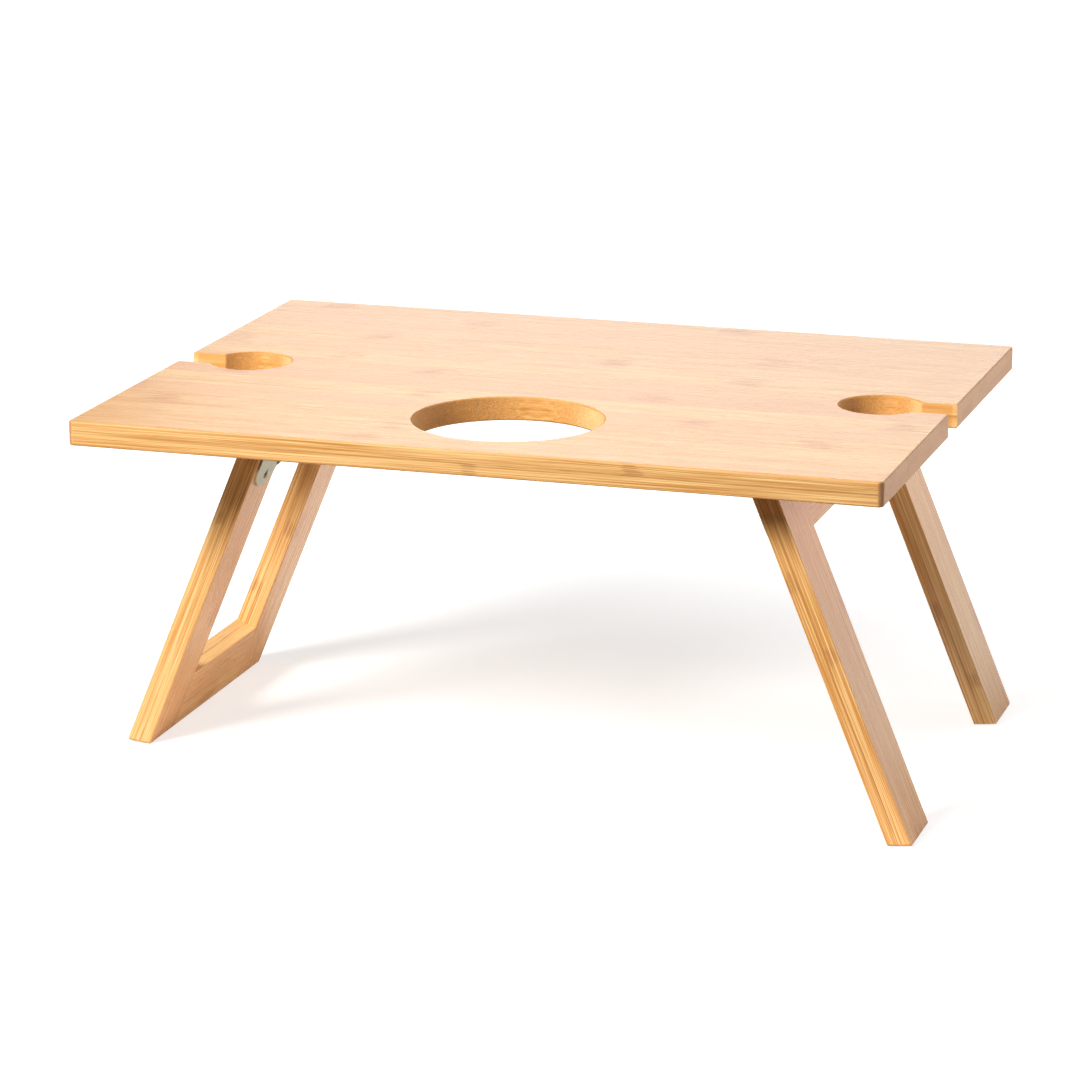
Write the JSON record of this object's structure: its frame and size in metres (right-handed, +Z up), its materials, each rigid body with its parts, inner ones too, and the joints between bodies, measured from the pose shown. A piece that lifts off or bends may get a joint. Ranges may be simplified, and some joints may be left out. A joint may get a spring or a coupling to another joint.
{
  "type": "folding picnic table",
  "caption": "Low folding picnic table: bamboo board with a round bottle hole and two open-sided stem-glass slots, on two splayed leg frames that fold flat beneath it.",
  "frame": {"origin": "on the floor, at the middle of the standing table's outline; the board's middle is 2.4 mm towards -X of it", "axes": "+Z up, X along the board from the narrow leg frame (-X) to the wide one (+X), +Y from the bottle-hole edge to the plain edge"},
  "size_m": [0.415, 0.3, 0.1846],
  "materials": {
    "bamboo_top": "satin, clear oiled laminated bamboo",
    "bamboo_frame": "satin, clear oiled laminated bamboo",
    "dowel_wood": "plain beech",
    "hinge_steel": "yellow zinc-plated pressed steel",
    "screw_steel": "zinc-plated"
  },
  "bodies": {
    "table": {"tabletop": "bamboo_top", "left_front_table_leaf": "hinge_steel", "left_front_hinge_pin": "hinge_steel", "left_front_table_screws": "screw_steel", "left_rear_table_leaf": "hinge_steel", "left_rear_hinge_pin": "hinge_steel", "left_rear_table_screws": "screw_steel", "right_front_table_leaf": "hinge_steel", "right_front_hinge_pin": "hinge_steel", "right_front_table_screws": "screw_steel", "right_rear_table_leaf": "hinge_steel", "right_rear_hinge_pin": "hinge_steel", "right_rear_table_screws": "screw_steel"},
    "left_frame": {"left_crossbar": "bamboo_frame", "left_front_leg": "bamboo_frame", "left_front_dowels": "dowel_wood", "left_front_leg_leaf": "hinge_steel", "left_front_leg_screws": "screw_steel", "left_rear_leg": "bamboo_frame", "left_rear_dowels": "dowel_wood", "left_rear_leg_leaf": "hinge_steel", "left_rear_leg_screws": "screw_steel"},
    "right_frame": {"right_crossbar": "bamboo_frame", "right_front_leg": "bamboo_frame", "right_front_dowels": "dowel_wood", "right_front_leg_leaf": "hinge_steel", "right_front_leg_screws": "screw_steel", "right_rear_leg": "bamboo_frame", "right_rear_dowels": "dowel_wood", "right_rear_leg_leaf": "hinge_steel", "right_rear_leg_screws": "screw_steel"}
  },
  "joints": [
    {"name": "left_frame_fold", "type": "hinge", "parent": "table", "child": "left_frame", "pos_m": [-0.12015, 0, 0.1656], "axis": [0, -1, 0], "range_deg": [0, 112.35]},
    {"name": "right_frame_fold", "type": "hinge", "parent": "table", "child": "right_frame", "pos_m": [0.12015, 0, 0.1656], "axis": [0, 1, 0], "range_deg": [0, 112.35]}
  ]
}
